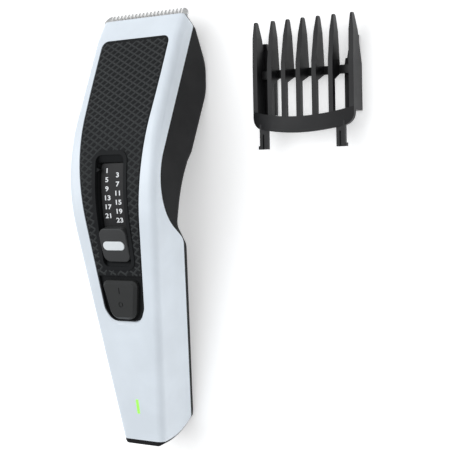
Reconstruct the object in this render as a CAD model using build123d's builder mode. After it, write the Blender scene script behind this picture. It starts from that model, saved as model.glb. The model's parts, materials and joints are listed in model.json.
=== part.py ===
"""Cordless hair clipper with a sliding length setting, and its separate comb attachment.

The clipper lies on its back on a table.  +Z is up and out of its front face, +Y runs along the
clipper towards the blade, +X is to the right for someone looking down at the front face.  The
origin is the middle of the flat land at the back of the head, on which the clipper rests.
All sizes are in millimetres.
"""

import os
from math import asin, atan2, cos, degrees, radians, sin, sqrt

from build123d import *

os.makedirs("parts", exist_ok=True)

# ---------------------------------------------------------------- outer form
# Side view, as (y, z, radius) corners, going round from the front of the base.
BASE_FRONT = (-153.3, 24.2)
CREST = (-36.9, 46.54)
CREST_RADIUS = 72.0
HEAD_BREAK = (18.0, 21.9)
HEAD_LIP = (26.4, 16.4)
SIDE_VIEW = [
    (*BASE_FRONT, 0.0),
    (*CREST, CREST_RADIUS),
    (*HEAD_BREAK, 15.0),
    (*HEAD_LIP, 0.0),
    (21.4, 8.0, 0.0),
    (6.5, 0.0, 16.0),
    (-5.9, 0.0, 16.0),
    (-31.7, 12.9, 8.0),
    (-35.5, 16.2, 4.0),
    (-45.6, 21.86, 40.0),
    (-60.2, 23.3, 4.0),
    (-68.4, 15.2, 6.0),
    (-141.8, 0.0, 10.0),
    (-144.7, 0.0, 0.0),
    (-152.3, 10.5, 30.0),
]

# Plan view, right half, as (x, y, radius) corners from the base to the head.
HEAD_HALF_WIDTH = 21.4
TAPER_START_Y = -51.0
BASE_HALF_WIDTH = 9.8
PLAN_VIEW = [
    (BASE_HALF_WIDTH, -156.0, 0.0),
    (HEAD_HALF_WIDTH, TAPER_START_Y, 300.0),
    (HEAD_HALF_WIDTH, 32.0, 0.0),
]

EDGE_ROUND = 3.2
INNER_ROUND = 1.0
BASE_CURVE_Y = -150.0
WALL = 1.8
CUTTER_TOP_Z = 60.0

# Line between the white front frame and the dark rear housing, side view (y, z, radius).
RIM_DEPTH = 1.8
PARTING_VIEW = [
    (30.0, 7.3, 0.0),
    (-50.6, 45.2, 24.0),
    (-66.7, 20.03, 5.0),
    (-137.6, 4.93, 0.0),
]
PARTING_BASE_ROUND = 1.5

# ---------------------------------------------------------------- front panel
PANEL_GAP = 0.35
PANEL_DEPTH = 1.7
PANEL_HEAD_HALF_WIDTH = 16.9
PANEL_TAPER_Y = -19.6
PANEL_TAPER_RADIUS = 600.0
PANEL_TOP_Y = 16.6
PANEL_CORNER = 3.0
PANEL_FOOT_Y = -100.2
PANEL_FOOT_HALF_WIDTH = 6.9
PANEL_FOOT_CORNER = 5.0
PANEL_KNEE = (-95.0, 9.9)
PANEL_KNEE_RADIUS = 6.0
LEDGE_WIDTH = 1.3
LEDGE_THICKNESS = 1.2
PANEL_OPENING_FLOOR_Z = 14.0
SCOOP_WIDTH = 2.2
SCOOP_DEPTH = 1.0
SCOOP_TAPER = 55.0

# ---------------------------------------------------------------- length setting
SLOT_HALF_WIDTH = 6.9
SLOT_TOP_Y = -32.1
SLOT_FOOT_Y = -77.2
SLOT_CORNER = 2.6
SLOT_RING_WIDTH = 1.6
SLOT_RING_HEIGHT = 0.35
POINTER_Y = -38.0
POINTER_REACH = 1.9
POINTER_ROOT = 0.3
POINTER_HALF_HEIGHT = 1.2
POINTER_DROP = 0.3
TRAY_WALL = 1.2
RAMP_DROP = 0.3
RAMP_TIP = 0.3
HEAD_RAMP_ANGLE = 8.75
FOOT_RAMP_LENGTH = 1.7
FOOT_RAMP_DEPTH = 1.8
TRAY_FLOOR = 1.0
PLATE_DROP = 2.6
PLATE_THICKNESS = 1.2
PLATE_HALF_WIDTH = 5.9
PLATE_TOP_ANGLE = 8.4
PLATE_CORNER = 1.6
RUNNING_GAP = 0.35
THUMB_SIDE_GAP = 0.35
THUMB_TOP_ANGLE = -12.6
THUMB_FOOT_ANGLE = -23.9
THUMB_HEIGHT = 1.6
THUMB_RIM_ROUND = 0.5
THUMB_CORNER = 3.0
STEM_HALF_WIDTH = 1.6
STEM_TOP_ANGLE = -17.0
STEM_FOOT_ANGLE = -22.5
STEM_END_ANGLE = 0.35
LENGTH_TRAVEL = 16.15
CARRIAGE_THICKNESS = 1.6
CARRIAGE_ARM_INNER = 15.0
CARRIAGE_ARM_OUTER = 17.9
CARRIAGE_TONGUE_HALF_WIDTH = 5.0
CARRIAGE_BEAM_FOOT_ANGLE = -16.0
CARRIAGE_ARM_TOP_ANGLE = 20.0
CARRIAGE_BEAM_TOP_ANGLE = -8.0
CARRIAGE_FOOT_ANGLE = -25.5
DETENT_THICKNESS = 0.5
DETENT_DEPTH = 1.5
DETENT_HALF_WIDTH = 2.0
DETENT_TIP_ANGLE = 1.5
PILL_HALF_LENGTH = 5.2
PILL_HALF_WIDTH = 1.9
PILL_HEIGHT = 0.35
PILL_SINK = 0.8
PILL_EDGE_ROUND = 0.3

# ---------------------------------------------------------------- power switch, in handle view
# Handle view: x across, y up the handle from the front of the base, z out of the front face.
SWITCH_FOOT = 55.3
SWITCH_TOP = 71.7
SWITCH_FOOT_HALF_WIDTH = 5.8
SWITCH_TOP_HALF_WIDTH = 8.9
SWITCH_FOOT_CORNER = 4.2
SWITCH_TOP_CORNER = 2.4
SWITCH_HEIGHT = 1.8
SWITCH_BEVEL = 1.2
SWITCH_TRAVEL = 1.5
SWITCH_FOOT_GAP = 0.6
SWITCH_SIDE_GAP = 0.9
BAY_DEPTH = 1.2
BAY_RIM = 0.5
BAY_FLOOR = 1.1
BAY_TOP_GAP = 0.3
SWITCH_STEM_HALF_WIDTH = 1.5
SWITCH_STEM_LENGTH = 3.0
SWITCH_STEM_Y = 59.0
SWITCH_LIFT = 0.3
SYMBOL_WIDTH = 0.45
SYMBOL_DEPTH = 0.3
LINE_SYMBOL_LENGTH = 2.6
RING_SYMBOL_RADIUS = 1.15
LINE_SYMBOL_DROP = 4.0
RING_SYMBOL_RISE = 6.6

# ---------------------------------------------------------------- electrics, in handle view
BOARD_TOP = -7.4
BOARD_THICKNESS = 1.2
BOARD_HALF_WIDTH = 7.2
BOARD_START = 11.0
BOARD_END = 62.0
SLIDE_SWITCH_SIZE = (7.36, 8.6, 3.0)
SLIDE_SWITCH_SETBACK = 2.0
SLIDE_SWITCH_GROOVE_DEPTH = 1.4
LIGHT_Y = 17.0
LIGHT_LENGTH = 6.2
LIGHT_WIDTH = 1.3
LIGHT_PROUD = 0.08
LIGHT_CHIP_SIZE = (2.0, 3.0, 1.2)
CELL_RADIUS = 7.0
CELL_START = 13.0
CELL_LENGTH = 48.5
CELL_AXIS_DEPTH = 16.2
CELL_NUB_RADIUS = 2.7
CELL_NUB_LENGTH = 1.2
TAB_WIDTH = 4.0
TAB_THICKNESS = 0.4
RIB_THICKNESS = 2.0
RIB_POSITIONS = (18.0, 37.0, 56.0)
CELL_RIB_CLEARANCE = 0.15
BOARD_SCREW_X = 5.4
BOARD_SCREW_RADIUS = 0.8
BOARD_SCREW_HEAD_RADIUS = 1.5
BOARD_SCREW_HEAD_HEIGHT = 1.0
BOARD_SCREW_REACH = 2.0
SCREW_CLEARANCE = 0.05

# Charging inlet, in handle view
INLET_HALF_WIDTH = 6.4
INLET_HALF_HEIGHT = 4.6
INLET_AXIS_DEPTH = 13.0
INLET_END = 11.0
INLET_MOUTH = (9.4, 6.2)
INLET_MOUTH_ROUND = 3.0
INLET_FLOOR = 9.0
INLET_PIN_RADIUS = 0.8
INLET_PIN_SPACING = 4.0
INLET_PIN_TIP = 3.0

# ---------------------------------------------------------------- cutting unit, in blade view
# Blade view: x across, y towards the teeth tips from the lip of the head, z out of the front.
POCKET_HALF_WIDTH = 20.2
POCKET_TOP = -1.0
POCKET_FOOT = -9.0
POCKET_DEPTH = 11.0
UNIT_GAP = 0.2
LIP_SETBACK = 0.6
TOOTH_PITCH = 1.88
TOOTH_COUNT = 19
TOOTH_ROOT = 0.2
TOOTH_LENGTH = 3.5
TOOTH_ROOT_WIDTH = 1.25
TOOTH_MERGE = 0.2
TOOTH_TIP_WIDTH = 0.6
CORNER_TOOTH_WIDTH = 2.1
CORNER_TOOTH_HEEL = 0.7
GUARD_BAR_HALF_WIDTH = 21.1
GUARD_BAR_BACK = -0.4
GUARD_TOP = -1.2
GUARD_THICKNESS = 0.9
GUARD_LENGTH = 8.6
CUTTER_GAP = 0.05
CUTTER_THICKNESS = 0.8
CUTTER_HALF_WIDTH = 17.2
CUTTER_LENGTH = 7.0
CUTTER_TOOTH_SETBACK = 0.7
CUTTER_STROKE = 1.2
HOLDER_FOOT = -8.8
HOLDER_LENGTH = 10.8
HOLDER_CHEEK_INNER = 18.8
HOLDER_WINDOW_HALF_WIDTH = 7.5
HOLDER_WINDOW_FRONT = -2.4
HOLDER_TOP = -6.2
BRIDGE_HALF_WIDTH = 5.0
BRIDGE_BACK = -6.0
BRIDGE_FRONT = -3.2
BRIDGE_HEIGHT = 1.7
FORK_SLOT_WIDTH = 2.1
FORK_HALF_WIDTH = 3.2
FORK_THICKNESS = 2.0
FORK_DEPTH = 8.7
FORK_SLOT_START = 5.4
SPRING_WIRE = 0.5
SPRING_HALF_SPAN = 16.0
SPRING_FOOT_X = 10.0
SPRING_TAIL_Y = -8.0
SPRING_FRONT_Y = -1.4
SPRING_BEND = 1.2

# ---------------------------------------------------------------- drive, in motor view
MOTOR_TILT = 20.0
MOTOR_AXIS_POINT = (16.4, 13.9)
MOTOR_RADIUS = 8.2
MOTOR_FLAT_HALF_WIDTH = 6.0
MOTOR_LENGTH = 25.0
MOTOR_EDGE_ROUND = 0.8
MOTOR_FRONT = 11.0
MOTOR_BOSS_RADIUS = 3.1
MOTOR_BOSS_HEIGHT = 1.5
BEARING_CLEARANCE = 0.05
SHAFT_RADIUS = 1.0
BRACKET_THICKNESS = 2.0
BRACKET_REACH_UP = 5.2
BRACKET_SCREW_SPACING = 10.0
MOTOR_SCREW_RADIUS = 0.8
MOTOR_SCREW_HEAD_RADIUS = 1.5
MOTOR_SCREW_HEAD_HEIGHT = 1.1
MOTOR_SCREW_LENGTH = 4.0
CRANK_RADIUS = 2.4
CRANK_START = 7.6
CRANK_END = 4.0
CRANK_PIN_RADIUS = 0.9
CRANK_PIN_END = 2.4

# ---------------------------------------------------------------- comb attachment
COMB_CENTRE_X = 69.2
COMB_FOOT_Y = -25.2
COMB_HALF_WIDTH = 21.9
COMB_WALL = 2.0
COMB_CROWN_Z = 12.5
COMB_CROWN_RADIUS = 65.0
COMB_BAND_HEIGHT = 6.4
COMB_BAND_THICKNESS = 1.8
COMB_BAND_SAG = 3.0
COMB_BAND_CORNER = 5.0
COMB_TIP_Y = 20.2
COMB_TIP_Z = 5.6
COMB_TIP_DEPTH = 2.4
COMB_TIP_ROUND = 0.9
COMB_TIP_HALF_WIDTH = 0.35
COMB_TIP_TAPER = 6.5
COMB_TOOTH_PITCH = 6.6
COMB_INNER_TEETH = 5
COMB_TOOTH_WIDTH = 1.9
COMB_TOOTH_DROP = 0.3
COMB_RIB_DEPTH = 2.6
COMB_RIB_TURN = 2.5
COMB_MERGE = 1.0
COMB_BAR_Y = -2.6
COMB_BAR_HEIGHT = 3.3
COMB_BAR_Z = 2.6
COMB_BAR_THICKNESS = 1.8
COMB_SHOULDER_Y = 2.2
COMB_FLANGE_THICKNESS = 1.4
COMB_FLANGE_WIDTH = 4.8
COMB_FLANGE_TOP_Y = 12.2
COMB_STEPS = 4
COMB_STEP_SHARE = 0.4
COMB_LEG_X = 16.7
COMB_LEG_WIDTH = 3.6
COMB_LEG_THICKNESS = 1.8
COMB_LEG_LENGTH = 9.0
COMB_LEG_GROOVE_WIDTH = 0.9
COMB_LEG_GROOVE_DEPTH = 0.6
COMB_HOOK_REACH = 0.6
COMB_HOOK_HEIGHT = 1.4


# ================================================================ shared geometry
def inset_corners(corners, inset):
    """Moves every side of a closed outline in by inset; the centre of each round stays."""
    count = len(corners)
    area = sum(
        corners[i][0] * corners[(i + 1) % count][1] - corners[(i + 1) % count][0] * corners[i][1]
        for i in range(count)
    )
    turn = 1 if area > 0 else -1
    moved = []
    for i in range(count):
        before, here, after = (Vector(*corners[(i + k) % count][:2]) for k in (-1, 0, 1))
        into = (here - before).normalized()
        out = (after - here).normalized()
        half_turn = into.cross(out).Z / (1 + into.dot(out))
        side = Vector(-into.Y, into.X) * turn
        point = here + side * inset - into * (inset * turn * half_turn)
        convex = half_turn * turn > 0
        radius = corners[i][2]
        if radius > 0:
            radius = max(radius - inset, 0.0) if convex else radius + inset
        moved.append((point.X, point.Y, radius))
    return moved


def draw_corners(corners):
    """Draws a closed outline of straight sides with rounded corners in the current line."""
    FilletPolyline(*[c[:2] for c in corners], radius=[c[2] for c in corners], close=True)


def meet(a, b, c, d):
    """Point where the line through a and b crosses the line through c and d."""
    along, across = Vector(b[0] - a[0], b[1] - a[1]), Vector(d[0] - c[0], d[1] - c[1])
    reach = Vector(c[0] - a[0], c[1] - a[1]).cross(across).Z / along.cross(across).Z
    return (a[0] + along.X * reach, a[1] + along.Y * reach)


def mirrored_plan(right_side):
    """Closes a plan outline from the corners of its right half."""
    left_side = [(-x, y, radius) for x, y, radius in reversed(right_side)]
    return right_side + left_side


def body_blank(inset, edge_round):
    """The clipper's whole outer form, drawn in by inset on every side."""
    with BuildPart() as blank:
        with BuildSketch(Plane.YZ):
            with BuildLine():
                draw_corners(inset_corners(SIDE_VIEW, inset))
            make_face()
        extrude(amount=2 * HEAD_HALF_WIDTH, both=True)
        with BuildSketch():
            with BuildLine():
                draw_corners(inset_corners(mirrored_plan(PLAN_VIEW), inset))
            make_face()
        extrude(amount=CUTTER_TOP_Z, both=True, mode=Mode.INTERSECT)
        if edge_round > 0:
            long_edges = [
                e for e in blank.edges()
                if abs(e.center().X) > BASE_HALF_WIDTH / 2 and e.center().Y > BASE_CURVE_Y
                and abs(e.tangent_at(0.5).X) < 0.9 and abs(e.tangent_at(0.5).Z) < 0.95
            ]
            fillet(long_edges, edge_round)
    return blank.part


def angle_of(start, end):
    """Slope in degrees of a line in the side view."""
    return degrees(atan2(end[1] - start[1], end[0] - start[0]))


def tilted_plane(y, z, slope):
    """A plane whose own y runs up the slope and whose normal leaves the front face."""
    tilt = radians(slope)
    return Plane(origin=(0, y, z), x_dir=(1, 0, 0), z_dir=(0, -sin(tilt), cos(tilt)))


handle_view = tilted_plane(*BASE_FRONT, angle_of(BASE_FRONT, CREST))
blade_view = tilted_plane(*HEAD_LIP, angle_of(HEAD_BREAK, HEAD_LIP))
motor_view = Plane(
    origin=(0, *MOTOR_AXIS_POINT), x_dir=(1, 0, 0),
    z_dir=(0, cos(radians(MOTOR_TILT)), -sin(radians(MOTOR_TILT))),
)


def arc_centre(before, corner, after, radius):
    """Centre of the round that joins two sloping lines of the side view."""
    into = (Vector(*corner) - Vector(*before)).normalized()
    out = (Vector(*after) - Vector(*corner)).normalized()
    half_turn = abs(into.cross(out).Z) / (1 + into.dot(out))
    return Vector(*corner) - into * (radius * half_turn) + Vector(into.Y, -into.X) * radius


crest = arc_centre(BASE_FRONT, CREST, HEAD_BREAK, CREST_RADIUS)


def ring_solid(low, high, start, end, half_width):
    """A curved slab about the crest's centre; angles in degrees from straight up, + is headward."""
    with BuildPart() as slab:
        with BuildSketch(Plane.YZ):
            with BuildLine():
                inner = CenterArc((crest.X, crest.Y), low, 90 - end, end - start)
                outer = CenterArc((crest.X, crest.Y), high, 90 - end, end - start)
                Line(inner @ 0, outer @ 0)
                Line(inner @ 1, outer @ 1)
            make_face()
        extrude(amount=half_width, both=True)
    return slab.part


def block(view, low, high):
    """A box between two corners given in a view's own x, y and z."""
    size = [high[i] - low[i] for i in range(3)]
    middle = [(high[i] + low[i]) / 2 for i in range(3)]
    return view * Pos(*middle) * Box(*size, mode=Mode.PRIVATE)


outer_form = body_blank(0.0, EDGE_ROUND)
inner_form = body_blank(WALL, INNER_ROUND)

panel_side = [
    (PANEL_FOOT_HALF_WIDTH, PANEL_FOOT_Y, PANEL_FOOT_CORNER),
    (PANEL_KNEE[1], PANEL_KNEE[0], PANEL_KNEE_RADIUS),
    (PANEL_HEAD_HALF_WIDTH, PANEL_TAPER_Y, PANEL_TAPER_RADIUS),
    (PANEL_HEAD_HALF_WIDTH, PANEL_TOP_Y, PANEL_CORNER),
]
panel_corners = mirrored_plan(panel_side)
slot_corners = mirrored_plan([
    (SLOT_HALF_WIDTH, SLOT_FOOT_Y, SLOT_CORNER),
    (SLOT_HALF_WIDTH, SLOT_TOP_Y, SLOT_CORNER),
])


def plan_prism(corners, inset, low=PANEL_OPENING_FLOOR_Z):
    """A plan outline drawn in by inset and stood up from height low."""
    with BuildPart() as prism:
        with BuildSketch(Plane.XY.offset(low)):
            with BuildLine():
                draw_corners(inset_corners(corners, inset))
            make_face()
        extrude(amount=CUTTER_TOP_Z - low)
    return prism.part


def save(part_builder, name):
    """Labels a finished piece and writes it to its own file."""
    part_builder.part.label = name
    export_step(part_builder.part, "parts/" + name + ".step")


# ================================================================ shells
FAR = 60.0
RING_CORE = 0.1
rim = inset_corners(SIDE_VIEW, RIM_DEPTH)
parting_foot = meet(PARTING_VIEW[-2], PARTING_VIEW[-1], rim[-2], rim[-1])
with BuildPart() as above_parting:
    with BuildSketch(Plane.YZ):
        with BuildLine():
            draw_corners(
                PARTING_VIEW[:-1] + [(*parting_foot, PARTING_BASE_ROUND)]
                + [rim[-1], (*rim[0][:2], 0.0)]
                + [(rim[0][0], FAR, 0.0), (PARTING_VIEW[0][0], FAR, 0.0)]
            )
        make_face()
    extrude(amount=2 * HEAD_HALF_WIDTH, both=True)

# The pocket in the end of the head that the cutting unit plugs into.
head_pocket = block(
    blade_view,
    (-POCKET_HALF_WIDTH, -POCKET_DEPTH, POCKET_FOOT),
    (POCKET_HALF_WIDTH, FAR, POCKET_TOP),
)
beyond_lip = block(blade_view, (-FAR, -LIP_SETBACK, -FAR), (FAR, FAR, FAR))
panel_under = body_blank(PANEL_DEPTH, 0.0)
ledge_under = body_blank(WALL + LEDGE_THICKNESS, 0.0)

inlet_low = (-INLET_HALF_WIDTH, -FAR, -INLET_AXIS_DEPTH - INLET_HALF_HEIGHT)
inlet_high = (INLET_HALF_WIDTH, INLET_END, -INLET_AXIS_DEPTH + INLET_HALF_HEIGHT)
inlet_block = block(handle_view, inlet_low, inlet_high)
light_low = (-LIGHT_WIDTH / 2, LIGHT_Y - LIGHT_LENGTH / 2, BOARD_TOP + LIGHT_CHIP_SIZE[2])
light_high = (LIGHT_WIDTH / 2, LIGHT_Y + LIGHT_LENGTH / 2, LIGHT_PROUD)
light_block = block(handle_view, light_low, light_high)

board_screw_places = [(BOARD_SCREW_X, RIB_POSITIONS[0]), (-BOARD_SCREW_X, RIB_POSITIONS[-1])]


def board_screw_shanks(radius):
    """The shanks of the two board screws, at a given radius."""
    with BuildPart() as shanks:
        with BuildSketch(handle_view.offset(BOARD_TOP)):
            with Locations(*board_screw_places):
                Circle(radius)
        extrude(amount=-BOARD_THICKNESS - BOARD_SCREW_REACH)
    return shanks.part


board_screw_holes = board_screw_shanks(BOARD_SCREW_RADIUS + SCREW_CLEARANCE)

# Ledge under the panel's edge.  The same cut also leaves two slivers inside the neck's rear wall,
# so only the largest piece is kept.
ledge_pieces = (plan_prism(panel_corners, -LEDGE_WIDTH) & inner_form & above_parting.part) - ledge_under
ledge = ledge_pieces.solids().sort_by(SortBy.VOLUME)[-1]
panel_seat = plan_prism(panel_corners, 0.0) - panel_under
panel_opening = plan_prism(panel_corners, LEDGE_WIDTH)

with BuildPart() as front_frame:
    add(outer_form & above_parting.part)
    add(inner_form, mode=Mode.SUBTRACT)
    add(ledge)
    for cut in (panel_seat, panel_opening, head_pocket, beyond_lip, light_block):
        add(cut, mode=Mode.SUBTRACT)
    # a sloping scoop round the foot of the opening leads the thumb to the switch
    with BuildSketch(handle_view):
        with BuildLine():
            draw_corners(mirrored_plan([
                (SWITCH_FOOT_HALF_WIDTH + SWITCH_SIDE_GAP + SCOOP_WIDTH,
                 SWITCH_FOOT - SWITCH_FOOT_GAP - SCOOP_WIDTH, SWITCH_FOOT_CORNER + SCOOP_WIDTH),
                (SWITCH_TOP_HALF_WIDTH + SWITCH_SIDE_GAP, SWITCH_TOP, 0.0),
            ]))
        make_face()
    extrude(amount=-SCOOP_DEPTH, taper=SCOOP_TAPER, mode=Mode.SUBTRACT)
save(front_frame, "front_frame")

cell_axis = Plane(
    origin=handle_view.from_local_coords((0, 0, -CELL_AXIS_DEPTH)),
    x_dir=(1, 0, 0), z_dir=handle_view.y_dir,
)
ribs = [
    block(
        handle_view,
        (-FAR, rib_y - RIB_THICKNESS / 2, -FAR),
        (FAR, rib_y + RIB_THICKNESS / 2, BOARD_TOP - BOARD_THICKNESS),
    ) & inner_form
    for rib_y in RIB_POSITIONS
]

with BuildPart() as rear_housing:
    add(outer_form - above_parting.part)
    add(inner_form, mode=Mode.SUBTRACT)
    add(head_pocket, mode=Mode.SUBTRACT)
    add(beyond_lip, mode=Mode.SUBTRACT)
    # ribs across the handle carry the cell and the circuit board
    for rib in ribs:
        add(rib)
    with BuildSketch(cell_axis.offset(RIB_POSITIONS[0] - RIB_THICKNESS)):
        Circle(CELL_RADIUS + CELL_RIB_CLEARANCE)
    extrude(amount=RIB_POSITIONS[-1] - RIB_POSITIONS[0] + 2 * RIB_THICKNESS, mode=Mode.SUBTRACT)
    add(inlet_block, mode=Mode.SUBTRACT)
    add(board_screw_holes, mode=Mode.SUBTRACT)
save(rear_housing, "rear_housing")


# ================================================================ front panel and slot
slot_prism = plan_prism(slot_corners, 0.0, low=crest.Y + CREST_RADIUS / 2)
slot_ring = plan_prism(slot_corners, -SLOT_RING_WIDTH) & body_blank(-SLOT_RING_HEIGHT, 0.0)
bay_top = SWITCH_TOP + SWITCH_TRAVEL + BAY_TOP_GAP
bay_low = (-FAR, -FAR, -BAY_DEPTH)
bay_high = (FAR, bay_top, FAR)
switch_bay = block(handle_view, bay_low, bay_high) & plan_prism(panel_corners, PANEL_GAP + BAY_RIM)
bay_floor = block(
    handle_view, (-FAR, -FAR, -PANEL_DEPTH - BAY_FLOOR), (FAR, bay_top + BAY_FLOOR, -PANEL_DEPTH)
) & plan_prism(panel_corners, LEDGE_WIDTH)
bay_end = block(
    handle_view, (-FAR, bay_top, -PANEL_DEPTH - BAY_FLOOR), (FAR, bay_top + BAY_FLOOR, 0.0)
) & plan_prism(panel_corners, PANEL_GAP + LEDGE_WIDTH)
stem_hole = block(
    handle_view,
    (-SWITCH_STEM_HALF_WIDTH - RUNNING_GAP, SWITCH_STEM_Y - SWITCH_STEM_LENGTH / 2 - RUNNING_GAP, -FAR),
    (SWITCH_STEM_HALF_WIDTH + RUNNING_GAP,
     SWITCH_STEM_Y + SWITCH_STEM_LENGTH / 2 + SWITCH_TRAVEL + RUNNING_GAP, FAR),
)

panel_skin = (plan_prism(panel_corners, PANEL_GAP) & outer_form & above_parting.part) - panel_under
slot_ring = (slot_ring & above_parting.part) - panel_under

# small pointer on the slot's left wall, beside the number in use
wide_angle = 60.0
with BuildPart() as pointer_prism:
    with BuildSketch():
        with Locations((-SLOT_HALF_WIDTH, POINTER_Y)):
            Polygon(
                (-POINTER_ROOT, -POINTER_HALF_HEIGHT), (POINTER_REACH, 0),
                (-POINTER_ROOT, POINTER_HALF_HEIGHT), align=None,
            )
    extrude(amount=CUTTER_TOP_Z)
pointer = pointer_prism.part & ring_solid(
    CREST_RADIUS - PANEL_DEPTH, CREST_RADIUS - POINTER_DROP, -wide_angle, wide_angle, FAR
)

# ramps at both ends of the slot; the number plate slides under the one at the head
plate_top = CREST_RADIUS - PLATE_DROP
slot_head_angle = degrees(asin((SLOT_TOP_Y - crest.X) / CREST_RADIUS))
slot_foot = (SLOT_FOOT_Y - BASE_FRONT[0]) / handle_view.y_dir.Y


def on_ring(angle, radius):
    """(y, z) of a point about the crest's centre; angle in degrees from straight up."""
    return (crest.X + radius * sin(radians(angle)), crest.Y + radius * cos(radians(angle)))


def on_handle(y, z):
    """(y, z) in the side view of a point given in the handle's own view."""
    point = handle_view.from_local_coords((0, y, z))
    return (point.Y, point.Z)


with BuildPart() as slot_ramps:
    with BuildSketch(Plane.YZ):
        Polygon(
            on_ring(HEAD_RAMP_ANGLE, plate_top + RUNNING_GAP),
            on_ring(HEAD_RAMP_ANGLE, plate_top + RUNNING_GAP + RAMP_TIP),
            on_ring(slot_head_angle, CREST_RADIUS - RAMP_DROP),
            on_ring(2 * slot_head_angle, CREST_RADIUS - RAMP_DROP),
            on_ring(2 * slot_head_angle, plate_top + RUNNING_GAP),
            on_ring(slot_head_angle, plate_top + RUNNING_GAP), align=None,
        )
        Polygon(
            on_handle(slot_foot - SLOT_RING_WIDTH, -RAMP_DROP), on_handle(slot_foot, -RAMP_DROP),
            on_handle(slot_foot + FOOT_RAMP_LENGTH, -FOOT_RAMP_DEPTH),
            on_handle(slot_foot + FOOT_RAMP_LENGTH, -FOOT_RAMP_DEPTH - RAMP_TIP),
            on_handle(slot_foot - SLOT_RING_WIDTH, -FOOT_RAMP_DEPTH - RAMP_TIP), align=None,
        )
    extrude(amount=FAR, both=True)
    add(slot_prism, mode=Mode.INTERSECT)

with BuildPart() as front_panel:
    add(panel_skin)
    add(slot_ring)
    add(switch_bay, mode=Mode.SUBTRACT)
    add(bay_floor & outer_form)
    add((bay_end & outer_form) - switch_bay)
    add(slot_prism, mode=Mode.SUBTRACT)
    add(stem_hole, mode=Mode.SUBTRACT)
    add(pointer)
    add(slot_ramps.part)
save(front_panel, "front_panel")

plate_foot = plate_top - PLATE_THICKNESS
tray_top = plate_foot - RUNNING_GAP
tray_foot = tray_top - TRAY_FLOOR
below_tray_top = ring_solid(RING_CORE, tray_top, -wide_angle, wide_angle, FAR)
below_tray_foot = ring_solid(RING_CORE, tray_foot, -wide_angle, wide_angle, FAR)
stem_slit = ring_solid(
    CREST_RADIUS / 2, CREST_RADIUS,
    STEM_FOOT_ANGLE - STEM_END_ANGLE, STEM_TOP_ANGLE + LENGTH_TRAVEL + STEM_END_ANGLE,
    STEM_HALF_WIDTH + RUNNING_GAP,
)
plate_door = ring_solid(
    tray_top, CREST_RADIUS, 0.0, wide_angle, PLATE_HALF_WIDTH + RUNNING_GAP,
)
tray_low = crest.Y + CREST_RADIUS / 2

with BuildPart() as slot_tray:
    add(plan_prism(slot_corners, -TRAY_WALL, low=tray_low) & panel_under)
    add(below_tray_foot, mode=Mode.SUBTRACT)
    add(slot_prism - below_tray_top, mode=Mode.SUBTRACT)
    add(plate_door, mode=Mode.SUBTRACT)
    add(stem_slit, mode=Mode.SUBTRACT)
save(slot_tray, "slot_tray")


# ================================================================ length setting, moving
thumb_top = CREST_RADIUS + THUMB_HEIGHT
thumb_half_width = SLOT_HALF_WIDTH - THUMB_SIDE_GAP
thumb_span = ring_solid(plate_top, thumb_top, THUMB_FOOT_ANGLE, THUMB_TOP_ANGLE, thumb_half_width)
stem = ring_solid(
    tray_foot - RUNNING_GAP, plate_top, STEM_FOOT_ANGLE, STEM_TOP_ANGLE, STEM_HALF_WIDTH
)
pill_middle = radians((THUMB_TOP_ANGLE + THUMB_FOOT_ANGLE) / 2)
pill_plane = Plane(
    origin=(0, crest.X + thumb_top * sin(pill_middle), crest.Y + thumb_top * cos(pill_middle)),
    x_dir=(1, 0, 0), z_dir=(0, sin(pill_middle), cos(pill_middle)),
)
with BuildPart() as slider_pill:
    with BuildSketch(pill_plane.offset(-PILL_SINK)):
        SlotOverall(2 * PILL_HALF_LENGTH, 2 * PILL_HALF_WIDTH)
    extrude(amount=PILL_SINK + PILL_HEIGHT)
    fillet(slider_pill.faces().filter_by(pill_plane).sort_by(Axis.Z)[-1].edges(), PILL_EDGE_ROUND)
save(slider_pill, "slider_pill")

with BuildPart() as length_slider:
    add(thumb_span)
    upright = [e for e in length_slider.edges() if abs(e.tangent_at(0.5).X) < 0.1
               and e.geom_type == GeomType.LINE]
    fillet(upright, THUMB_CORNER)
    outer_rim = [e for e in length_slider.faces().sort_by(Axis.Z)[-1].edges()]
    fillet(outer_rim, THUMB_RIM_ROUND)
    add(stem)
    add(slider_pill.part, mode=Mode.SUBTRACT)
save(length_slider, "length_slider")

with BuildPart() as scale_plate:
    add(ring_solid(plate_foot, plate_top, THUMB_FOOT_ANGLE, PLATE_TOP_ANGLE, PLATE_HALF_WIDTH))
    head_corners = [
        e for e in scale_plate.edges()
        if e.geom_type == GeomType.LINE and abs(e.tangent_at(0.5).X) < 0.1
        and e.center().Y > crest.X
    ]
    fillet(head_corners, PLATE_CORNER)
    add(stem, mode=Mode.SUBTRACT)
save(scale_plate, "scale_plate")

carriage_top = tray_foot - RUNNING_GAP
carriage_foot = carriage_top - CARRIAGE_THICKNESS
carriage_tongue = ring_solid(
    carriage_foot, carriage_top, CARRIAGE_FOOT_ANGLE, CARRIAGE_BEAM_FOOT_ANGLE, CARRIAGE_TONGUE_HALF_WIDTH
)
carriage_beam = ring_solid(
    carriage_foot, carriage_top, CARRIAGE_BEAM_FOOT_ANGLE, CARRIAGE_BEAM_TOP_ANGLE, CARRIAGE_ARM_OUTER
)
carriage_arm = ring_solid(
    carriage_foot, carriage_top, CARRIAGE_BEAM_FOOT_ANGLE, CARRIAGE_ARM_TOP_ANGLE,
    (CARRIAGE_ARM_OUTER - CARRIAGE_ARM_INNER) / 2,
)
with BuildPart() as comb_carriage:
    add(carriage_tongue)
    add(carriage_beam)
    for side in (-1, 1):
        add(Pos(side * (CARRIAGE_ARM_OUTER + CARRIAGE_ARM_INNER) / 2, 0, 0) * carriage_arm)
save(comb_carriage, "comb_carriage")

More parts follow.
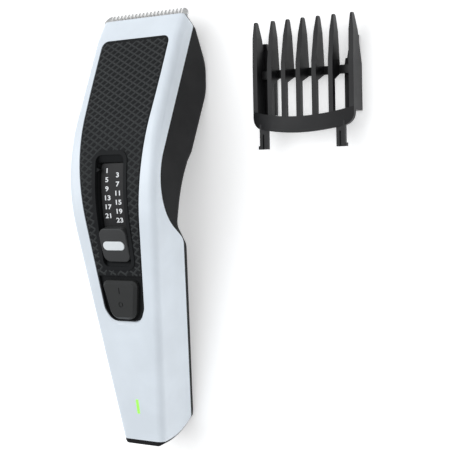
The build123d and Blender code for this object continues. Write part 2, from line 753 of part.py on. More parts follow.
spring_leaf = ring_solid(
    carriage_foot - DETENT_THICKNESS, carriage_foot, CARRIAGE_FOOT_ANGLE, STEM_TOP_ANGLE, DETENT_HALF_WIDTH
)
spring_tip = ring_solid(
    carriage_foot - DETENT_DEPTH, carriage_foot, CARRIAGE_FOOT_ANGLE, CARRIAGE_FOOT_ANGLE + DETENT_TIP_ANGLE,
    DETENT_HALF_WIDTH,
)
with BuildPart() as detent_spring:
    add(spring_leaf)
    add(spring_tip)
save(detent_spring, "detent_spring")


# ================================================================ power switch
switch_corners = mirrored_plan([
    (SWITCH_FOOT_HALF_WIDTH, SWITCH_FOOT, SWITCH_FOOT_CORNER),
    (SWITCH_TOP_HALF_WIDTH, SWITCH_TOP, SWITCH_TOP_CORNER),
])
with BuildPart() as power_switch:
    with BuildSketch(handle_view.offset(-BAY_DEPTH + SWITCH_LIFT)):
        with BuildLine():
            draw_corners(switch_corners)
        make_face()
    extrude(amount=BAY_DEPTH - SWITCH_LIFT + SWITCH_HEIGHT)
    top_face = power_switch.faces().filter_by(handle_view).sort_by(Axis.Z)[-1]
    chamfer(top_face.edges(), SWITCH_BEVEL)
    with BuildSketch(handle_view.offset(-BAY_DEPTH + SWITCH_LIFT)):
        with Locations((0, SWITCH_STEM_Y)):
            Rectangle(2 * SWITCH_STEM_HALF_WIDTH, SWITCH_STEM_LENGTH)
    extrude(amount=BOARD_TOP + SLIDE_SWITCH_SIZE[2] - SLIDE_SWITCH_GROOVE_DEPTH + RUNNING_GAP
            + BAY_DEPTH - SWITCH_LIFT)
    # engraved line above, ring below
    with BuildSketch(handle_view.offset(SWITCH_HEIGHT)):
        with Locations((0, SWITCH_TOP - LINE_SYMBOL_DROP)):
            SlotOverall(LINE_SYMBOL_LENGTH, SYMBOL_WIDTH, rotation=90)
        with Locations((0, SWITCH_FOOT + RING_SYMBOL_RISE)):
            Circle(RING_SYMBOL_RADIUS)
            Circle(RING_SYMBOL_RADIUS - SYMBOL_WIDTH, mode=Mode.SUBTRACT)
    extrude(amount=-SYMBOL_DEPTH, mode=Mode.SUBTRACT)
save(power_switch, "power_switch")


# ================================================================ electrics
with BuildPart() as circuit_board:
    with BuildSketch(handle_view.offset(BOARD_TOP - BOARD_THICKNESS)):
        with Locations((0, (BOARD_START + BOARD_END) / 2)):
            Rectangle(2 * BOARD_HALF_WIDTH, BOARD_END - BOARD_START)
    extrude(amount=BOARD_THICKNESS)
    add(board_screw_holes, mode=Mode.SUBTRACT)
save(circuit_board, "circuit_board")

with BuildPart() as slide_switch:
    with BuildSketch(handle_view.offset(BOARD_TOP)):
        with Locations((0, SWITCH_STEM_Y + SWITCH_TRAVEL / 2 - SLIDE_SWITCH_SETBACK)):
            Rectangle(SLIDE_SWITCH_SIZE[0], SLIDE_SWITCH_SIZE[1])
    extrude(amount=SLIDE_SWITCH_SIZE[2])
    with BuildSketch(handle_view.offset(BOARD_TOP + SLIDE_SWITCH_SIZE[2])):
        with Locations((0, SWITCH_STEM_Y + SWITCH_TRAVEL / 2)):
            Rectangle(2 * (SWITCH_STEM_HALF_WIDTH + RUNNING_GAP),
                      SWITCH_STEM_LENGTH + SWITCH_TRAVEL + 2 * RUNNING_GAP)
    extrude(amount=-SLIDE_SWITCH_GROOVE_DEPTH, mode=Mode.SUBTRACT)
save(slide_switch, "slide_switch")

with BuildPart() as indicator_chip:
    with BuildSketch(handle_view.offset(BOARD_TOP)):
        with Locations((0, LIGHT_Y)):
            Rectangle(LIGHT_CHIP_SIZE[0], LIGHT_CHIP_SIZE[1])
    extrude(amount=LIGHT_CHIP_SIZE[2])
save(indicator_chip, "indicator_chip")

with BuildPart() as light_guide:
    add(light_block)
save(light_guide, "light_guide")

with BuildPart() as battery_cell:
    with BuildSketch(cell_axis.offset(CELL_START)):
        Circle(CELL_RADIUS)
    extrude(amount=CELL_LENGTH)
    with BuildSketch(cell_axis.offset(CELL_START + CELL_LENGTH)):
        Circle(CELL_NUB_RADIUS)
    extrude(amount=CELL_NUB_LENGTH)
save(battery_cell, "battery_cell")

with BuildPart() as battery_tabs:
    cell_ends = (CELL_START - TAB_THICKNESS, CELL_START + CELL_LENGTH + CELL_NUB_LENGTH)
    for tab_end in cell_ends:
        tab_low = (-TAB_WIDTH / 2, tab_end, -CELL_AXIS_DEPTH - TAB_WIDTH / 2)
        tab_high = (TAB_WIDTH / 2, tab_end + TAB_THICKNESS, BOARD_TOP - BOARD_THICKNESS)
        add(block(handle_view, tab_low, tab_high))
save(battery_tabs, "battery_tabs")

with BuildPart() as charging_socket:
    add(inlet_block & outer_form)
    with BuildSketch(cell_axis.offset(INLET_FLOOR)):
        with Locations((0, INLET_AXIS_DEPTH - CELL_AXIS_DEPTH)):
            RectangleRounded(*INLET_MOUTH, INLET_MOUTH_ROUND)
    extrude(amount=-FAR, mode=Mode.SUBTRACT)
save(charging_socket, "charging_socket")

with BuildPart() as socket_pins:
    with BuildSketch(cell_axis.offset(INLET_PIN_TIP)):
        with Locations((0, INLET_AXIS_DEPTH - CELL_AXIS_DEPTH)):
            with GridLocations(INLET_PIN_SPACING, 0, 2, 1):
                Circle(INLET_PIN_RADIUS)
    extrude(amount=INLET_FLOOR - INLET_PIN_TIP)
save(socket_pins, "socket_pins")


with BuildPart() as board_screws:
    add(board_screw_shanks(BOARD_SCREW_RADIUS))
    with BuildSketch(handle_view.offset(BOARD_TOP)):
        with Locations(*board_screw_places):
            Circle(BOARD_SCREW_HEAD_RADIUS)
    extrude(amount=BOARD_SCREW_HEAD_HEIGHT)
save(board_screws, "board_screws")


# ================================================================ drive
motor_bore = motor_view.offset(-MOTOR_FRONT - MOTOR_LENGTH / 2)
bracket_screw_places = [(-BRACKET_SCREW_SPACING / 2, 0), (BRACKET_SCREW_SPACING / 2, 0)]


def motor_screw_shanks(radius):
    """The shanks of the two screws that hold the motor to its bracket."""
    with BuildPart() as shanks:
        with BuildSketch(motor_view.offset(-MOTOR_FRONT + BRACKET_THICKNESS)):
            with Locations(*bracket_screw_places):
                Circle(radius)
        extrude(amount=-MOTOR_SCREW_LENGTH)
    return shanks.part


motor_screw_holes = motor_screw_shanks(MOTOR_SCREW_RADIUS + SCREW_CLEARANCE)

with BuildPart() as motor:
    with BuildSketch(motor_view.offset(-MOTOR_FRONT)):
        Circle(MOTOR_RADIUS)
        Rectangle(2 * MOTOR_RADIUS, 2 * MOTOR_FLAT_HALF_WIDTH, mode=Mode.INTERSECT)
    extrude(amount=-MOTOR_LENGTH)
    fillet(motor.faces().filter_by(motor_view).edges(), MOTOR_EDGE_ROUND)
    with BuildSketch(motor_view.offset(-MOTOR_FRONT)):
        Circle(MOTOR_BOSS_RADIUS)
    extrude(amount=MOTOR_BOSS_HEIGHT)
    with BuildSketch(motor_bore):
        Circle(SHAFT_RADIUS + BEARING_CLEARANCE)
    extrude(amount=MOTOR_LENGTH, mode=Mode.SUBTRACT)
    add(motor_screw_holes, mode=Mode.SUBTRACT)
save(motor, "motor")

bracket_slab = block(
    motor_view,
    (-FAR, -BRACKET_REACH_UP, -MOTOR_FRONT),
    (FAR, FAR, -MOTOR_FRONT + BRACKET_THICKNESS),
) & inner_form
with BuildPart() as motor_bracket:
    add(bracket_slab)
    add(head_pocket, mode=Mode.SUBTRACT)
    with BuildSketch(motor_view.offset(-MOTOR_FRONT)):
        Circle(MOTOR_BOSS_RADIUS + SCREW_CLEARANCE)
    extrude(amount=BRACKET_THICKNESS, mode=Mode.SUBTRACT)
    add(motor_screw_holes, mode=Mode.SUBTRACT)
save(motor_bracket, "motor_bracket")

with BuildPart() as motor_screws:
    add(motor_screw_shanks(MOTOR_SCREW_RADIUS))
    with BuildSketch(motor_view.offset(-MOTOR_FRONT + BRACKET_THICKNESS)):
        with Locations(*bracket_screw_places):
            Circle(MOTOR_SCREW_HEAD_RADIUS)
    extrude(amount=MOTOR_SCREW_HEAD_HEIGHT)
save(motor_screws, "motor_screws")

shaft_back = MOTOR_FRONT + MOTOR_LENGTH / 2 - RUNNING_GAP
with BuildPart() as motor_shaft:
    with BuildSketch(motor_view.offset(-shaft_back)):
        Circle(SHAFT_RADIUS)
    extrude(amount=shaft_back - CRANK_START)
save(motor_shaft, "motor_shaft")

with BuildPart() as eccentric:
    with BuildSketch(motor_view.offset(-CRANK_START)):
        Circle(CRANK_RADIUS)
    extrude(amount=CRANK_START - CRANK_END)
    with BuildSketch(motor_view.offset(-CRANK_END)):
        with Locations((0, -CUTTER_STROKE)):
            Circle(CRANK_PIN_RADIUS)
    extrude(amount=CRANK_END - CRANK_PIN_END)
save(eccentric, "eccentric")


# ================================================================ cutting unit
unit_half_width = TOOTH_COUNT * TOOTH_PITCH / 2 + CORNER_TOOTH_WIDTH


def tooth_row(count, tip):
    """Draws a row of tapered teeth in blade view, from just inside the root to the tip."""
    for index in range(count):
        with Locations(((index - (count - 1) / 2) * TOOTH_PITCH, 0)):
            Polygon(
                (-TOOTH_ROOT_WIDTH / 2, TOOTH_ROOT - TOOTH_MERGE),
                (TOOTH_ROOT_WIDTH / 2, TOOTH_ROOT - TOOTH_MERGE),
                (TOOTH_TIP_WIDTH / 2, tip),
                (-TOOTH_TIP_WIDTH / 2, tip),
                align=None,
            )


with BuildPart() as guard_blade:
    with BuildSketch(blade_view.offset(GUARD_TOP)):
        with Locations((0, (TOOTH_ROOT - GUARD_LENGTH) / 2)):
            Rectangle(2 * unit_half_width, TOOTH_ROOT + GUARD_LENGTH)
        # bar in front of the lip, as wide as the head, with a rounded tooth at each corner
        with Locations((0, (TOOTH_ROOT + GUARD_BAR_BACK) / 2)):
            Rectangle(2 * GUARD_BAR_HALF_WIDTH, TOOTH_ROOT - GUARD_BAR_BACK)
        tooth_row(TOOTH_COUNT, TOOTH_LENGTH)
        for side in (-1, 1):
            with BuildLine():
                inner_x = side * (unit_half_width - CORNER_TOOTH_WIDTH + TOOTH_MERGE)
                outer_x = side * GUARD_BAR_HALF_WIDTH
                Polyline((outer_x, CORNER_TOOTH_HEEL), (outer_x, TOOTH_ROOT - TOOTH_MERGE),
                         (inner_x, TOOTH_ROOT - TOOTH_MERGE), (inner_x, TOOTH_LENGTH))
                RadiusArc((inner_x, TOOTH_LENGTH), (outer_x, CORNER_TOOTH_HEEL), side * TOOTH_LENGTH)
            make_face()
    extrude(amount=-GUARD_THICKNESS)
save(guard_blade, "guard_blade")

cutter_top = GUARD_TOP - GUARD_THICKNESS - CUTTER_GAP
cutter_teeth = int(2 * CUTTER_HALF_WIDTH / TOOTH_PITCH)
with BuildPart() as cutter_blade:
    with BuildSketch(blade_view.offset(cutter_top)):
        with Locations((0, (TOOTH_ROOT - CUTTER_LENGTH) / 2)):
            Rectangle(2 * CUTTER_HALF_WIDTH, TOOTH_ROOT + CUTTER_LENGTH)
        tooth_row(cutter_teeth, TOOTH_LENGTH - CUTTER_TOOTH_SETBACK)
    extrude(amount=-CUTTER_THICKNESS)
save(cutter_blade, "cutter_blade")

cutter_foot = cutter_top - CUTTER_THICKNESS
bridge_base = block(
    blade_view,
    (-BRIDGE_HALF_WIDTH, BRIDGE_BACK, cutter_foot - BRIDGE_HEIGHT),
    (BRIDGE_HALF_WIDTH, BRIDGE_FRONT, cutter_foot),
)
fork_plate = block(
    blade_view,
    (-FORK_HALF_WIDTH, BRIDGE_BACK - FORK_THICKNESS, -FORK_DEPTH),
    (FORK_HALF_WIDTH, BRIDGE_BACK, cutter_foot - CUTTER_GAP),
)
fork_slot = block(
    blade_view,
    (-FORK_SLOT_WIDTH / 2, BRIDGE_BACK - 2 * FORK_THICKNESS, -2 * FORK_DEPTH),
    (FORK_SLOT_WIDTH / 2, BRIDGE_BACK + FORK_THICKNESS, -FORK_SLOT_START),
)
with BuildPart() as drive_bridge:
    add(bridge_base)
    add(fork_plate)
    add(fork_slot, mode=Mode.SUBTRACT)
save(drive_bridge, "drive_bridge")

holder_floor = block(
    blade_view, (-unit_half_width, -HOLDER_LENGTH, HOLDER_FOOT), (unit_half_width, TOOTH_ROOT, HOLDER_TOP)
)
holder_cheeks = [
    block(
        blade_view,
        (min(side * HOLDER_CHEEK_INNER, side * unit_half_width), -HOLDER_LENGTH, HOLDER_FOOT),
        (max(side * HOLDER_CHEEK_INNER, side * unit_half_width), TOOTH_ROOT, GUARD_TOP - GUARD_THICKNESS),
    )
    for side in (-1, 1)
]
holder_window = block(
    blade_view,
    (-HOLDER_WINDOW_HALF_WIDTH, -FAR, -FAR), (HOLDER_WINDOW_HALF_WIDTH, HOLDER_WINDOW_FRONT, FAR),
)
with BuildPart() as cutter_holder:
    add(holder_floor)
    for cheek in holder_cheeks:
        add(cheek)
    add(holder_window, mode=Mode.SUBTRACT)
save(cutter_holder, "cutter_holder")

with BuildPart() as blade_spring:
    with BuildLine(blade_view.offset(HOLDER_TOP + SPRING_WIRE / 2)) as spring_path:
        FilletPolyline(
            (SPRING_FOOT_X, SPRING_TAIL_Y), (SPRING_HALF_SPAN, SPRING_TAIL_Y),
            (SPRING_HALF_SPAN, SPRING_FRONT_Y), (-SPRING_HALF_SPAN, SPRING_FRONT_Y),
            (-SPRING_HALF_SPAN, SPRING_TAIL_Y), (-SPRING_FOOT_X, SPRING_TAIL_Y),
            radius=SPRING_BEND,
        )
    with BuildSketch(Plane(origin=spring_path.line @ 0, z_dir=spring_path.line % 0)):
        Circle(SPRING_WIRE / 2)
    sweep()
save(blade_spring, "blade_spring")


# ================================================================ comb attachment
def crown_z(x):
    """Height of the comb's crowned front at a distance from its middle."""
    return COMB_CROWN_Z - COMB_CROWN_RADIUS + sqrt(COMB_CROWN_RADIUS**2 - x**2)


comb_band_top = COMB_FOOT_Y + COMB_BAND_HEIGHT
comb_wall_foot = COMB_FOOT_Y + COMB_BAND_SAG + COMB_BAND_CORNER
comb_bar_top = COMB_BAR_Y + COMB_BAR_HEIGHT
comb_plane = Plane.YZ.offset(COMB_CENTRE_X)
comb_axis_view = Plane(
    origin=(COMB_CENTRE_X, -FAR, COMB_CROWN_Z - COMB_CROWN_RADIUS), x_dir=(1, 0, 0), z_dir=(0, 1, 0)
)


def comb_crown(radius):
    """Everything under a crown of this radius about the comb's own long axis."""
    with BuildPart() as crown:
        with BuildSketch(comb_axis_view):
            Circle(radius)
        extrude(amount=2 * FAR)
    return crown.part


with BuildPart() as band_prism:
    with BuildSketch(Plane.XY.offset(COMB_FLANGE_THICKNESS)):
        with BuildLine():
            low_left = (COMB_CENTRE_X - COMB_HALF_WIDTH, COMB_FOOT_Y + COMB_BAND_SAG)
            low_right = (COMB_CENTRE_X + COMB_HALF_WIDTH, COMB_FOOT_Y + COMB_BAND_SAG)
            high_left = (low_left[0], comb_band_top + COMB_BAND_SAG)
            high_right = (low_right[0], comb_band_top + COMB_BAND_SAG)
            ThreePointArc(low_left, (COMB_CENTRE_X, COMB_FOOT_Y), low_right)
            Line(low_right, high_right)
            ThreePointArc(high_right, (COMB_CENTRE_X, comb_band_top), high_left)
            Line(high_left, low_left)
        make_face()
    extrude(amount=COMB_CROWN_Z)
    low_corners = [
        e for e in band_prism.edges().filter_by(Axis.Z) if e.center().Y < COMB_FOOT_Y + COMB_BAND_SAG + 1
    ]
    fillet(low_corners, COMB_BAND_CORNER)

crown_shell = comb_crown(COMB_CROWN_RADIUS) - comb_crown(COMB_CROWN_RADIUS - COMB_BAND_THICKNESS)
comb_band = band_prism.part & crown_shell


def comb_tooth(x, width, profile):
    """A plate of the comb that stands on edge and comes to a point, x from the comb's middle."""
    with BuildPart() as tooth:
        with BuildSketch(comb_plane.offset(x - width / 2)):
            Polygon(*profile, align=None)
        extrude(amount=width)
        tips = [e for e in tooth.edges().filter_by(Axis.X) if e.center().Y > COMB_TIP_Y - COMB_TIP_ROUND]
        fillet(tips, COMB_TIP_ROUND)
        with BuildSketch():
            with Locations((COMB_CENTRE_X + x, 0)):
                Polygon(
                    (-width / 2, -FAR), (width / 2, -FAR),
                    (width / 2, COMB_TIP_Y - COMB_TIP_TAPER), (COMB_TIP_HALF_WIDTH, COMB_TIP_Y),
                    (-COMB_TIP_HALF_WIDTH, COMB_TIP_Y), (-width / 2, COMB_TIP_Y - COMB_TIP_TAPER),
                    align=None,
                )
        extrude(amount=FAR, mode=Mode.INTERSECT)
    return tooth.part


def inner_profile(x):
    """Side view of a tooth: shallow under the crown, deepest at the cross bar, thin at the tip."""
    top = crown_z(x) - COMB_TOOTH_DROP
    rib_foot = crown_z(x) - COMB_RIB_DEPTH
    bar_middle_z = COMB_BAR_Z + COMB_BAR_THICKNESS / 2
    return [
        (comb_band_top - COMB_MERGE, top),
        (COMB_SHOULDER_Y, top),
        (COMB_TIP_Y, COMB_TIP_Z + COMB_TIP_DEPTH),
        (COMB_TIP_Y, COMB_TIP_Z),
        (comb_bar_top, bar_middle_z),
        (COMB_BAR_Y, bar_middle_z),
        (COMB_BAR_Y - COMB_RIB_TURN, rib_foot),
        (comb_band_top - COMB_MERGE, rib_foot),
    ]


inner_offsets = [
    (index - (COMB_INNER_TEETH - 1) / 2) * COMB_TOOTH_PITCH for index in range(COMB_INNER_TEETH)
]
inner_teeth = [comb_tooth(x, COMB_TOOTH_WIDTH, inner_profile(x)) for x in inner_offsets]
wall_top = crown_z(COMB_HALF_WIDTH)
wall_profile = [
    (comb_wall_foot, 0.0), (comb_bar_top, 0.0), (COMB_TIP_Y, COMB_TIP_Z),
    (COMB_TIP_Y, COMB_TIP_Z + COMB_TIP_DEPTH), (COMB_SHOULDER_Y, wall_top), (comb_wall_foot, wall_top),
]
side_walls = [
    comb_tooth(side * (COMB_HALF_WIDTH - COMB_WALL / 2), COMB_WALL, wall_profile) for side in (-1, 1)
]


def flange_outline(side):
    """The stepped flange along the back edge of a side wall."""
    inner = COMB_HALF_WIDTH - COMB_WALL - COMB_FLANGE_WIDTH
    wall_middle = COMB_HALF_WIDTH - COMB_WALL / 2
    step_x = COMB_FLANGE_WIDTH / COMB_STEPS
    step_y = (COMB_FLANGE_TOP_Y - comb_bar_top) / COMB_STEPS
    points = [(wall_middle, comb_wall_foot), (inner, comb_wall_foot), (inner, comb_bar_top)]
    for step in range(COMB_STEPS):
        step_top = comb_bar_top + (step + 1) * step_y
        points.append((inner + (step + COMB_STEP_SHARE) * step_x, step_top))
        points.append((inner + (step + 1) * step_x, step_top))
    points.append((wall_middle, COMB_FLANGE_TOP_Y))
    return [(COMB_CENTRE_X + side * x, y) for x, y in points]


leg_foot = crown_z(COMB_LEG_X) - COMB_TOOTH_DROP - COMB_LEG_THICKNESS
leg_top_y = comb_wall_foot - COMB_BAND_CORNER + COMB_MERGE
leg_low_y = COMB_FOOT_Y + COMB_BAND_SAG - COMB_LEG_LENGTH
with BuildPart() as comb:
    add(comb_band)
    for tooth in inner_teeth + side_walls:
        add(tooth)
    for side in (-1, 1):
        with BuildSketch():
            Polygon(*flange_outline(side), align=None)
        extrude(amount=COMB_FLANGE_THICKNESS)
        with BuildSketch(Plane.XY.offset(leg_foot)):
            with Locations((COMB_CENTRE_X + side * COMB_LEG_X, (leg_top_y + leg_low_y) / 2)):
                Rectangle(COMB_LEG_WIDTH, leg_top_y - leg_low_y)
            with Locations((
                COMB_CENTRE_X + side * (COMB_LEG_X + COMB_HOOK_REACH), leg_low_y + COMB_HOOK_HEIGHT / 2
            )):
                Rectangle(COMB_LEG_WIDTH, COMB_HOOK_HEIGHT)
        extrude(amount=COMB_LEG_THICKNESS)
        with BuildSketch(Plane.XY.offset(leg_foot + COMB_LEG_THICKNESS)):
            with Locations((COMB_CENTRE_X + side * COMB_LEG_X, leg_low_y)):
                Rectangle(COMB_LEG_GROOVE_WIDTH, 2 * (COMB_LEG_LENGTH - COMB_BAND_SAG))
        extrude(amount=-COMB_LEG_GROOVE_DEPTH, mode=Mode.SUBTRACT)
    # the cross bar behind the teeth
    with BuildSketch(Plane.XY.offset(COMB_BAR_Z)):
        with Locations((COMB_CENTRE_X, (COMB_BAR_Y + comb_bar_top) / 2)):
            Rectangle(2 * COMB_HALF_WIDTH - COMB_WALL, COMB_BAR_HEIGHT)
    extrude(amount=COMB_BAR_THICKNESS)
save(comb, "comb")
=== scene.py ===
"""Looks for the hair clipper and its comb: textures, printed numbers, materials, light and camera."""
import json
from math import asin, atan2, cos, radians, sin, sqrt, tan

import bmesh
import bpy
from mathutils import Matrix, Vector


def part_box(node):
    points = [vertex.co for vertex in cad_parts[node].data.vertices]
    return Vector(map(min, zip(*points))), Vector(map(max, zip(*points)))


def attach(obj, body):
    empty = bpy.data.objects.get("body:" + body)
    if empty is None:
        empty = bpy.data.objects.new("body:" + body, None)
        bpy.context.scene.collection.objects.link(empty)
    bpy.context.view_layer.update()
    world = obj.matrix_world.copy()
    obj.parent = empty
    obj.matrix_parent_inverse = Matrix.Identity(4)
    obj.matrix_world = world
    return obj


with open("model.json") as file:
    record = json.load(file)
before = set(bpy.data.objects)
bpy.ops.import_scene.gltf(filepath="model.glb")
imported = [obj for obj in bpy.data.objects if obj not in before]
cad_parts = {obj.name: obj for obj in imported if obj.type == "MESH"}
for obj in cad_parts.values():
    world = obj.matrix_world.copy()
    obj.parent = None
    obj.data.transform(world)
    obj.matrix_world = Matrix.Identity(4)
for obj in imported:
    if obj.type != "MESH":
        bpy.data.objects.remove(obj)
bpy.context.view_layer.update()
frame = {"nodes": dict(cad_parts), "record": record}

MM = 0.001
scene = bpy.context.scene

# ---------------------------------------------------------------- facts from the frame
joints = {j["name"]: j for j in frame["record"]["behaviour"]["joints"]}
crest = Vector(joints["length_slide"]["pos_m"])
up_handle = Vector(joints["power_slide"]["axis"])
panel_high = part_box("front_panel")[1]
tray_low, tray_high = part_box("slot_tray")

FACE_RADIUS = 72.0 * MM
HANDLE_ANGLE = -atan2(up_handle.z, up_handle.y)
HEAD_ANGLE = radians(24.17)
PANEL_GAP = 0.35 * MM
PANEL_HALF_WIDTH = panel_high.x
TRAY_WALL = 1.2 * MM
RING_WIDTH = 1.6 * MM
SLOT_HALF_WIDTH = tray_high.x - TRAY_WALL
SLOT_LOW_Y = tray_low.y + TRAY_WALL
SLOT_HIGH_Y = tray_high.y - TRAY_WALL
PLATE_RADIUS = 69.4 * MM


# ---------------------------------------------------------------- the front face's side view
def face_point(s, lift=0.0):
    """(y, z) on the front face, s along it from above the arc's centre, raised by lift."""
    angle = min(max(s / FACE_RADIUS, HANDLE_ANGLE), HEAD_ANGLE)
    beyond = s - angle * FACE_RADIUS
    radius = FACE_RADIUS + lift
    y = crest.y + radius * sin(angle) + beyond * cos(angle)
    z = crest.z + radius * cos(angle) - beyond * sin(angle)
    return y, z


def s_of_y(y):
    """The s at which the front face reaches a given y."""
    low_y, high_y = face_point(HANDLE_ANGLE * FACE_RADIUS)[0], face_point(HEAD_ANGLE * FACE_RADIUS)[0]
    if y < low_y:
        return HANDLE_ANGLE * FACE_RADIUS + (y - low_y) / cos(HANDLE_ANGLE)
    if y > high_y:
        return HEAD_ANGLE * FACE_RADIUS + (y - high_y) / cos(HEAD_ANGLE)
    return FACE_RADIUS * asin((y - crest.y) / FACE_RADIUS)


# ---------------------------------------------------------------- materials
# the values between which most of a noise texture lies
NOISE_LOW = 0.35
NOISE_HIGH = 0.65


class Tree:
    """A material's node tree, with short calls for the nodes used here."""

    def __init__(self, name, **shader):
        self.material = bpy.data.materials.new(name)
        self.material.use_nodes = True
        self.nodes = self.material.node_tree.nodes
        self.links = self.material.node_tree.links
        self.shader = self.nodes["Principled BSDF"]
        for socket, value in shader.items():
            self.shader.inputs[socket.replace("_", " ")].default_value = value
        self.coordinates = self.nodes.new("ShaderNodeTexCoord").outputs["Object"]

    def stretched(self, scale):
        """Object coordinates, stretched along each axis."""
        mapping = self.nodes.new("ShaderNodeMapping")
        mapping.inputs["Scale"].default_value = scale
        self.links.new(self.coordinates, mapping.inputs["Vector"])
        return mapping.outputs["Vector"]

    def noise(self, scale, detail=3.0, vector=None):
        node = self.nodes.new("ShaderNodeTexNoise")
        node.inputs["Scale"].default_value = scale
        node.inputs["Detail"].default_value = detail
        self.links.new(vector or self.coordinates, node.inputs["Vector"])
        return node.outputs["Fac"]

    def spread(self, value, low, high):
        """Noise spread between two numbers."""
        node = self.nodes.new("ShaderNodeMapRange")
        node.inputs["From Min"].default_value = NOISE_LOW
        node.inputs["From Max"].default_value = NOISE_HIGH
        node.inputs["To Min"].default_value = low
        node.inputs["To Max"].default_value = high
        self.links.new(value, node.inputs["Value"])
        return node.outputs["Result"]

    def mixed(self, value, colour_a, colour_b):
        """A colour between two, by noise."""
        ramp = self.nodes.new("ShaderNodeValToRGB")
        ramp.color_ramp.elements[0].position = NOISE_LOW
        ramp.color_ramp.elements[1].position = NOISE_HIGH
        ramp.color_ramp.elements[0].color = (*colour_a, 1.0)
        ramp.color_ramp.elements[1].color = (*colour_b, 1.0)
        self.links.new(value, ramp.inputs["Fac"])
        return ramp.outputs["Color"]

    def bump(self, height, distance, strength=1.0):
        node = self.nodes.new("ShaderNodeBump")
        node.inputs["Strength"].default_value = strength
        node.inputs["Distance"].default_value = distance
        self.links.new(height, node.inputs["Height"])
        self.links.new(node.outputs["Normal"], self.shader.inputs["Normal"])

    def feed(self, socket, output):
        self.links.new(output, self.shader.inputs[socket])


def shade(colour, factor):
    return tuple(channel * factor for channel in colour)


def moulded(name, colour, roughness, grain_mm=0.35, grain_depth_mm=0.01, **shader):
    """Moulded plastic: a fine even grain, a little unevenness of gloss and of tone."""
    tree = Tree(name, **shader)
    tree.feed("Base Color", tree.mixed(tree.noise(60.0), shade(colour, 0.965), shade(colour, 1.03)))
    tree.feed("Roughness", tree.spread(tree.noise(90.0), roughness - 0.04, roughness + 0.05))
    tree.bump(tree.noise(1.0 / (grain_mm * MM), 2.0), grain_depth_mm * MM)
    return tree.material


def ground_steel(name, colour, roughness, along, across):
    """Ground steel: fine scratches that run along one axis."""
    tree = Tree(name, Metallic=1.0)
    scratches = tree.noise(1.0, 4.0, tree.stretched((along, across, across)))
    tree.feed("Base Color", tree.mixed(scratches, shade(colour, 0.86), shade(colour, 1.08)))
    tree.feed("Roughness", tree.spread(scratches, roughness - 0.07, roughness + 0.1))
    tree.bump(scratches, 0.008 * MM)
    return tree.material


def laminate(name, colour):
    """Circuit board laminate with faint tracks under its lacquer."""
    tree = Tree(name)
    wave = tree.nodes.new("ShaderNodeTexWave")
    wave.inputs["Scale"].default_value = 420.0
    wave.inputs["Distortion"].default_value = 6.0
    tree.links.new(tree.coordinates, wave.inputs["Vector"])
    tree.feed("Base Color", tree.mixed(wave.outputs["Fac"], colour, shade(colour, 1.8)))
    tree.feed("Roughness", tree.spread(tree.noise(300.0), 0.25, 0.4))
    tree.bump(wave.outputs["Fac"], 0.02 * MM)
    return tree.material


def lit_lens(name, colour, strength):
    """Coloured plastic with a lamp behind it, slightly uneven."""
    tree = Tree(name, Transmission_Weight=0.2, IOR=1.49)
    glow = tree.noise(500.0, 1.0)
    tree.feed("Base Color", tree.mixed(glow, shade(colour, 0.9), colour))
    tree.feed("Emission Color", tree.mixed(glow, shade(colour, 0.95), colour))
    tree.shader.inputs["Emission Strength"].default_value = strength
    tree.feed("Roughness", tree.spread(tree.noise(200.0), 0.2, 0.3))
    return tree.material


WHITE = (0.79, 0.855, 0.92)
# how strongly the dark plastics reflect: a little on smooth pieces, less on the shell and the panel
DULL = {"Specular_IOR_Level": 0.24}
MATT = {"Specular_IOR_Level": 0.1}

white_shell = moulded("white_shell", WHITE, 0.36, 0.3, 0.004, Coat_Weight=0.08)
dark_shell = moulded("dark_shell", (0.016, 0.016, 0.017), 0.55, 0.3, 0.012, **MATT)
dark_panel = moulded("dark_panel", (0.014, 0.015, 0.016), 0.55, 0.3, 0.012, **MATT)
# painted sheen: the ridges are coloured lighter than the panel they stand on
ridge_painted_sheen = moulded("ridge_painted_sheen", (0.043, 0.046, 0.047), 0.5, 0.3, 0.006, **MATT)
# painted highlight: thin strips along the crests of one family of ridges, lighter still
crest_painted_highlight = moulded("crest_painted_highlight", (0.105, 0.110, 0.110), 0.5, 0.3, 0.004, **MATT)
dark_slot = moulded("dark_slot", (0.022, 0.023, 0.024), 0.4, 0.25, 0.006, **DULL)
dark_thumb = moulded("dark_thumb", (0.052, 0.053, 0.054), 0.4, 0.25, 0.008, **DULL)
dark_switch = moulded("dark_switch", (0.036, 0.037, 0.037), 0.4, 0.25, 0.008, **DULL)
scale_dark = moulded("scale_dark", (0.020, 0.020, 0.021), 0.5, 0.2, 0.005, **DULL)
white_pill = moulded("white_pill", (0.82, 0.86, 0.88), 0.28, 0.4, 0.003, Coat_Weight=0.3)
white_print = moulded("white_print", (0.90, 0.92, 0.94), 0.5, 0.12, 0.006)
black_comb = moulded("black_comb", (0.009, 0.009, 0.010), 0.34, 0.25, 0.01, **DULL)
black_holder = moulded("black_holder", (0.008, 0.008, 0.008), 0.5, 0.3, 0.01, **DULL)
grey_acetal = moulded("grey_acetal", (0.10, 0.10, 0.10), 0.45)
natural_acetal = moulded("natural_acetal", (0.55, 0.54, 0.47), 0.4)
switch_black = moulded("switch_black", (0.02, 0.02, 0.02), 0.45)
chip_white = moulded("chip_white", (0.7, 0.7, 0.6), 0.35)
cell_green = moulded("cell_green", (0.03, 0.20, 0.08), 0.3, 0.8, 0.01, Coat_Weight=0.3)
blade_steel = ground_steel("blade_steel", (0.74, 0.74, 0.73), 0.33, 900.0, 9000.0)
spring_steel = ground_steel("spring_steel", (0.45, 0.45, 0.45), 0.3, 2000.0, 6000.0)
screw_steel = ground_steel("screw_steel", (0.42, 0.42, 0.40), 0.35, 3000.0, 3000.0)
can_steel = ground_steel("can_steel", (0.48, 0.49, 0.50), 0.38, 3000.0, 800.0)
shaft_steel = ground_steel("shaft_steel", (0.60, 0.60, 0.60), 0.2, 8000.0, 1200.0)
